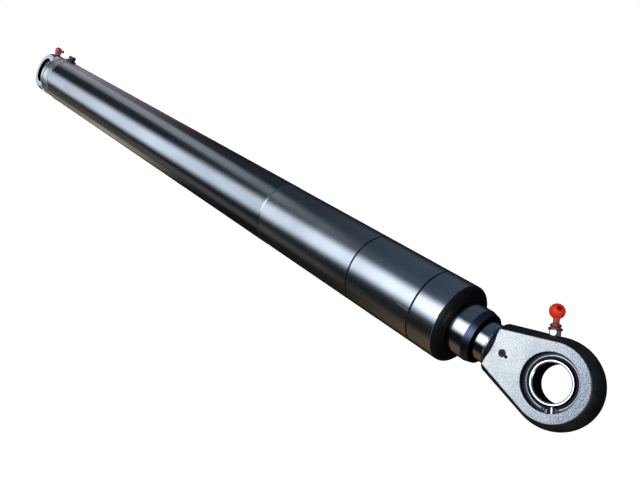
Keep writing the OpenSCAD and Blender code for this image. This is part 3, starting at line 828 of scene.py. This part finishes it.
# rear eye: the same round, blended into a round bar with milled sides
bm = eye_mesh(-80 * MM, REACH)
for v in bm.verts:
    v.co.x = -v.co.x
bmesh.ops.reverse_faces(bm, faces=bm.faces)
rear_eye = finish_mesh("rear_eye_fine", bm, "barrel", EYE_MATS, ["rear_eye"], 30)
shoulder = X_BASE - 53 * MM
outline = [
    (0, 44 * MM), (REACH, 44 * MM), (REACH, X_BASE - 5 * MM), (REACH - 4 * MM, X_BASE), (SPIGOT_R, X_BASE),
    (SPIGOT_R, X_SPIGOT - 3 * MM), (47 * MM, X_SPIGOT), (0, X_SPIGOT),
]
bar = tool_from(lathe(bmesh.new(), outline, 192))
for side in (-1, 1):
    pts = [(-0.1, HALF), (shoulder - 14 * MM, HALF)]
    for k in range(1, 13):
        t = math.pi / 2 * k / 12
        pts.append((shoulder - 14 * MM + 14 * MM * math.sin(t), HALF + 14 * MM * (1 - math.cos(t))))
    pts += [(shoulder, 0.09), (-0.1, 0.09)]
    bm = bmesh.new()
    low = [bm.verts.new((x, side * y, -0.08)) for x, y in pts]
    high = [bm.verts.new((x, side * y, 0.08)) for x, y in pts]
    bm.faces.new(low)
    bm.faces.new(high)
    for i in range(len(pts)):
        k = (i + 1) % len(pts)
        bm.faces.new((low[i], low[k], high[k], high[i]))
    boolean(bar, tool_from(bm), "DIFFERENCE")
give_materials(bar, rear_eye.data.materials, 3)
boolean(rear_eye, bar, "UNION")
nipple_seat(rear_eye, NIPPLE_REAR)
cut_with(rear_eye, rod_tool(8 * MM, 0.03, Matrix.Translation((X_PORT, 0, 44 * MM))), 2)
resharpen(rear_eye, 30)

# inner rings of the bearings: ball surface and bore painted dark (painted shade), faces and bore edges
# painted bright (painted highlight)
for node, body, x in (("front_inner_race", "front_bearing", PIN_X), ("rear_inner_race", "rear_bearing", 0.0)):
    half = span(node, 1)[1]
    edge = math.asin(half / BALL_R)
    outline = [(PIN_R, 1.5 * MM - half), (PIN_R, half - 1.5 * MM), (PIN_R + 1.5 * MM, half)]
    for k in range(25):
        t = edge - 2 * edge * k / 24
        outline.append((BALL_R * math.cos(t), BALL_R * math.sin(t)))
    outline.append((PIN_R + 1.5 * MM, -half))
    n = len(outline)
    kinds = {1: 1, 2: 1, n - 1: 1, n - 2: 1}
    to_y = Matrix.Translation((x, 0, 0)) @ Matrix.Rotation(-math.pi / 2, 4, "X")
    bm = lathe(bmesh.new(), outline, 160, to_y, mat=lambda i: kinds.get(i, 2))
    finish_mesh(node + "_fine", bm, body, [MAT["bearing_steel"], RACE_EDGE, RACE_DARK],
                [node], 25)

# ------------------------------------------------------------------ base weld


def weld_wave(r, x, a):
    ripple = math.sin(a * 74 + 9 * abs(x - X_BASE) / (6 * MM))
    crown = max(0.0, 1 - ((x - X_BASE) / (6 * MM)) ** 2)
    drift = noise.noise(Vector((math.cos(a) * 3, math.sin(a) * 3, 0)))
    if r < REACH - 1 * MM:
        return r, x
    return r + (0.16 * ripple - 0.18 + 0.12 * drift) * MM * crown, x + 0.35 * MM * drift


outline = [(BORE_R, X_BASE - 4.9 * MM)]
for k in range(13):
    t = math.pi * k / 12
    outline.append((REACH + (0.55 + 0.9 * math.sin(t)) * MM, X_BASE - 6 * MM * math.cos(t)))
outline.append((BORE_R, X_BASE + 4.9 * MM))
finish_mesh("base_weld_fine", lathe(bmesh.new(), outline, 592, wobble=weld_wave), "barrel",
            [MAT["weld_steel"]], ["base_weld"], 60)

# ------------------------------------------------------------- port and plug

PLUG_Z = span("port_boss", 2)[1]
outline = fillet([
    (8 * MM, 52 * MM), (15 * MM, 52 * MM), (15 * MM, PLUG_Z, 0.9 * MM), (8 * MM, PLUG_Z, 0.5 * MM),
])
bm = lathe(bmesh.new(), outline, 96, Matrix.Translation((X_PORT, 0, 0)))
boss = finish_mesh("port_boss_fine", bm, "barrel", [MAT["dark_steel"]], ["port_boss"])
boolean(boss, rod_tool(REACH, 0.08, Matrix.Translation((X_PORT - 0.04, 0, 0)) @ TO_X, 192), "DIFFERENCE")
resharpen(boss)


def ribs(r, z, a):
    if r < 9.9 * MM or z > 10.6 * MM or z < 1 * MM:
        return r, z
    return r - 0.6 * MM * (0.5 + 0.5 * math.cos(a * 18)) ** 2, z


outline = fillet(mm([
    (0, -17), (6.8, -17, 0.5), (7.9, -14, 0.5), (7.9, 0.1), (9.6, 0.1, 0.2), (10.15, 0.8, 0.2), (10.15, 1.6),
    (10.15, 3), (10.15, 5), (10.15, 7), (10.15, 9), (10.15, 10.4), (10.15, 11.3, 0.3), (9.2, 12.2, 0.5),
    (4.4, 12.2, 0.3), (3.8, 11.2, 0.3), (0, 11.2),
]))
bm = lathe(bmesh.new(), outline, 216, Matrix.Translation((X_PORT, 0, PLUG_Z)), wobble=ribs)
finish_mesh("port_plug_fine", bm, "plug", [MAT["plug_plastic"]], ["port_plug"], 50)

# ----------------------------------------------------------------- red caps


def red_cap(name, node, body, matrix, hex_h, ball, button, reach, mats):
    """Moulded cap: two-ribbed skirt, stem, ball, and a dished button on the ball."""
    foot = SEAT_MM + hex_h + 0.3
    big = 10.4
    pts = [
        (3.25, foot), (8.6, foot, 0.3), (9.2, foot + 0.7, 0.4), (9.2, foot + 2.6, 0.5),
        (8.2, foot + 3.5, 0.4), (6.4, foot + 3.9, 0.25),
    ]
    if ball - big > foot + 8:
        start = math.asin(4.3 / big) + 0.10
        pts += [
            (6.4, foot + 4.6, 0.25), (7.4, foot + 5.2, 0.4), (7.4, foot + 7.4, 0.5), (6.4, foot + 8.3, 0.4),
            (4.3, foot + 8.8, 0.6), (4.3, ball - big * math.cos(start) - 0.8, 0.8),
        ]
    else:
        start = math.acos((ball - foot - 4.3) / big)
    out = fillet(mm(pts + [(big * math.sin(start), ball - big * math.cos(start))]), 5)
    n_skirt = len([p for p in out if p[1] < (foot + 8.6) * MM])
    for k in range(1, 41):
        t = start + (math.pi - start) * k / 40
        out.append((max(big * MM * math.sin(t), 0.0), (ball - big * math.cos(t)) * MM))
    out[-1] = (0.0, (ball + big) * MM)
    out += mm([(0, foot + 7.3), (3.25, foot + 7.3)])
    n_stem = len([p for p in out if p[1] < (ball - big + 0.5) * MM])
    bm = lathe(bmesh.new(), out, 96, matrix, mat=lambda i: 2 if i < n_skirt else 3 if i < n_stem else 0)
    ob = finish_mesh(name, bm, body, mats, [node], 40)
    knob = fillet(mm([(0, 4), (4.6, 4), (4.6, reach, 0.5), (0, reach)]), 5)
    tool = tool_from(lathe(bmesh.new(), knob, 64, up(matrix, ball * MM) @ button))
    give_materials(tool, mats, 0)
    boolean(ob, tool, "UNION")
    dish = rod_tool(3.4 * MM, 3 * MM, up(up(matrix, ball * MM) @ button, (reach - 1.2) * MM))
    give_materials(dish, mats, 1)
    boolean(ob, dish, "DIFFERENCE")
    resharpen(ob, 40)


def aim(polar, azimuth):
    return Matrix.Rotation(math.radians(azimuth), 4, "Z") @ Matrix.Rotation(math.radians(polar), 4, "Y")


red_cap("front_cap_fine", "front_nipple_cap", "front_cap", NIPPLE_FRONT, 8.5, 91.7, aim(73, -56), 10.9,
        [MAT["cap_red"], BUTTON, SKIRT, STEM])
red_cap("rear_cap_fine", "rear_nipple_cap", "rear_cap", NIPPLE_REAR, 4.0, 74.0, aim(90, 45), 15.8,
        [CAP_FAR, BUTTON, CAP_FAR, CAP_FAR])

# --------------------------------------------------------------------- stage

floor_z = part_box("base_weld")[0].z - 0.0005
bm = bmesh.new()
bmesh.ops.create_grid(bm, x_segments=1, y_segments=1, size=30)
mesh = bpy.data.meshes.new("floor")
bm.to_mesh(mesh)
bm.free()
floor = bpy.data.objects.new("floor", mesh)
floor.location = (PIN_X / 2, 0, floor_z)
bpy.context.scene.collection.objects.link(floor)
mat = bpy.data.materials.new("floor_white")
mat.use_nodes = True
bsdf = mat.node_tree.nodes["Principled BSDF"]
bsdf.inputs["Base Color"].default_value = (0.9, 0.9, 0.9, 1)
bsdf.inputs["Roughness"].default_value = 1.0
bsdf.inputs["Emission Color"].default_value = (1, 1, 1, 1)
bsdf.inputs["Emission Strength"].default_value = 1.0
floor.data.materials.append(mat)
floor.visible_glossy = False
floor.visible_diffuse = False
floor.visible_shadow = False

# studio surround: soft strip lights lying along the cylinder, each a band round the
# cylinder's axis. Their strengths are set for what the barrel reflects towards the
# photograph's side, so the part looks much darker from behind
world = bpy.data.worlds.new("studio")
bpy.context.scene.world = world
world.use_nodes = True
wt = world.node_tree
wt.nodes.clear()


def wnode(kind, inputs=(), **values):
    n = wt.nodes.new(kind)
    for k, v in values.items():
        setattr(n, k, v)
    for socket, v in zip(n.inputs, inputs):
        if v is None:
            continue
        if isinstance(v, bpy.types.NodeSocket):
            wt.links.new(v, socket)
        else:
            socket.default_value = v
    return n


def wmath(op, a, b=None):
    return wnode("ShaderNodeMath", (a, b), operation=op).outputs[0]


coord = wnode("ShaderNodeTexCoord")
sep = wnode("ShaderNodeSeparateXYZ", (coord.outputs["Generated"],))
toward_rear = wmath("MULTIPLY", sep.outputs["X"], -1.0)
angle = wmath("ARCTAN2", sep.outputs["Z"], wmath("MULTIPLY", sep.outputs["Y"], -1.0))
angle = wmath("DEGREES", angle)


def along(front, rear):
    """A value that changes evenly from the front to the rear."""
    return wnode("ShaderNodeMapRange", (toward_rear, 0.56, 0.91, front, rear)).outputs[0]


def strip(centre, half, soft, colour, strengths):
    """One light: (front, rear) band centre, half width and fade in degrees; strengths front to rear."""
    away = wmath("ABSOLUTE", wmath("SUBTRACT", angle, along(*centre)))
    away = wmath("MINIMUM", away, wmath("SUBTRACT", 360.0, away))
    inner = along(*half)
    outer = wmath("ADD", inner, along(*soft))
    fade = wnode("ShaderNodeMapRange", (away, outer, inner, 0.0, 1.0), interpolation_type="SMOOTHSTEP")
    band = fade.outputs[0]
    power = wnode("ShaderNodeValToRGB", (toward_rear,))
    ramp = power.color_ramp
    while len(ramp.elements) < len(strengths):
        ramp.elements.new(0.5)
    for e, (place, v) in zip(ramp.elements, strengths):
        e.position = place
        e.color = (v / 3.0, v / 3.0, v / 3.0, 1)
    level = wmath("MULTIPLY", wmath("MULTIPLY", band, power.outputs[0]), 3.0)
    scaled = wnode("ShaderNodeVectorMath", (colour,), operation="SCALE")
    wt.links.new(level, scaled.inputs["Scale"])
    return scaled.outputs[0]


STRIPS = [
    # key light on the camera side, and a dim blue glow above it
    strip((2, -14), (8, 14), (26, 28), (0.90, 1.0, 1.10),
          [(0.22, 2.3), (0.33, 2.7), (0.45, 2.4), (0.56, 1.75), (0.66, 1.25), (0.72, 1.1), (0.81, 1.15),
           (0.88, 1.4), (0.91, 0.95)]),
    strip((85, 85), (36, 30), (30, 30), (0.55, 0.80, 1.1),
          [(0.56, 0.105), (0.66, 0.05), (0.72, 0.02), (0.9, 0.01)]),
    # narrow light above it
    strip((22, 90), (7, 11), (14, 14), (0.86, 1.0, 1.06),
          [(0.56, 0.0), (0.66, 0.12), (0.71, 0.18), (0.81, 0.42), (0.877, 0.40), (0.91, 0.28)]),
    # grey-violet light from the top rear, and a dark red line beyond it
    strip((124, 124), (22, 22), (16, 16), (1.0, 0.86, 0.98),
          [(0.70, 0.01), (0.83, 0.0), (0.88, 0.16), (0.91, 0.32)]),
    strip((152, 152), (4, 4), (9, 9), (1.0, 0.25, 0.34), [(0.80, 0.0), (0.84, 0.20), (0.90, 0.18)]),
    # warm bounce from the ground
    strip((-102, -102), (16, 16), (20, 20), (1.0, 0.66, 0.34), [(0.48, 0.15), (0.56, 0.07), (0.61, 0.0)]),
    strip((-118, -118), (13, 13), (16, 16), (1.0, 0.82, 0.64), [(0.82, 0.0), (0.88, 0.55), (0.91, 0.26)]),
    # faint light between the ground and the key light
    strip((-76, -76), (6, 6), (12, 12), (1.0, 0.96, 0.90),
          [(0.56, 0.01), (0.70, 0.08), (0.81, 0.11), (0.91, 0.07)]),
]
total = wnode("ShaderNodeVectorMath", ((0.007, 0.009, 0.011), STRIPS[0])).outputs[0]
for light in STRIPS[1:]:
    total = wnode("ShaderNodeVectorMath", (total, light)).outputs[0]
studio = wnode("ShaderNodeBackground", (total,))
white = wnode("ShaderNodeBackground", ((1, 1, 1, 1),))
path = wnode("ShaderNodeLightPath")
pick = wnode("ShaderNodeMixShader", (path.outputs["Is Camera Ray"], studio.outputs[0], white.outputs[0]))
wnode("ShaderNodeOutputWorld", (pick.outputs[0],))

# --------------------------------------------------------------------- camera

cam_data = bpy.data.cameras.new("camera")
cam = bpy.data.objects.new("camera", cam_data)
bpy.context.scene.collection.objects.link(cam)
# fitted to the photograph: the picture's right and down, and the camera's place
right = Vector((0.63427, 0.63243, 0.44467)).normalized()
down = Vector((0.39210, 0.23256, -0.89004)).normalized()
ahead = right.cross(down).normalized()
down = ahead.cross(right).normalized()
cam.matrix_world = Matrix((
    (right.x, -down.x, -ahead.x, PIN_X + 0.28405),
    (right.y, -down.y, -ahead.y, -0.83573),
    (right.z, -down.z, -ahead.z, 0.11080),
    (0, 0, 0, 1),
))
cam_data.sensor_width = 36.0
cam_data.lens = 36.39375
cam_data.shift_x = 0.0004
cam_data.clip_start = 0.02
cam_data.clip_end = 100
bpy.context.scene.camera = cam
bpy.context.scene.view_settings.view_transform = "Standard"
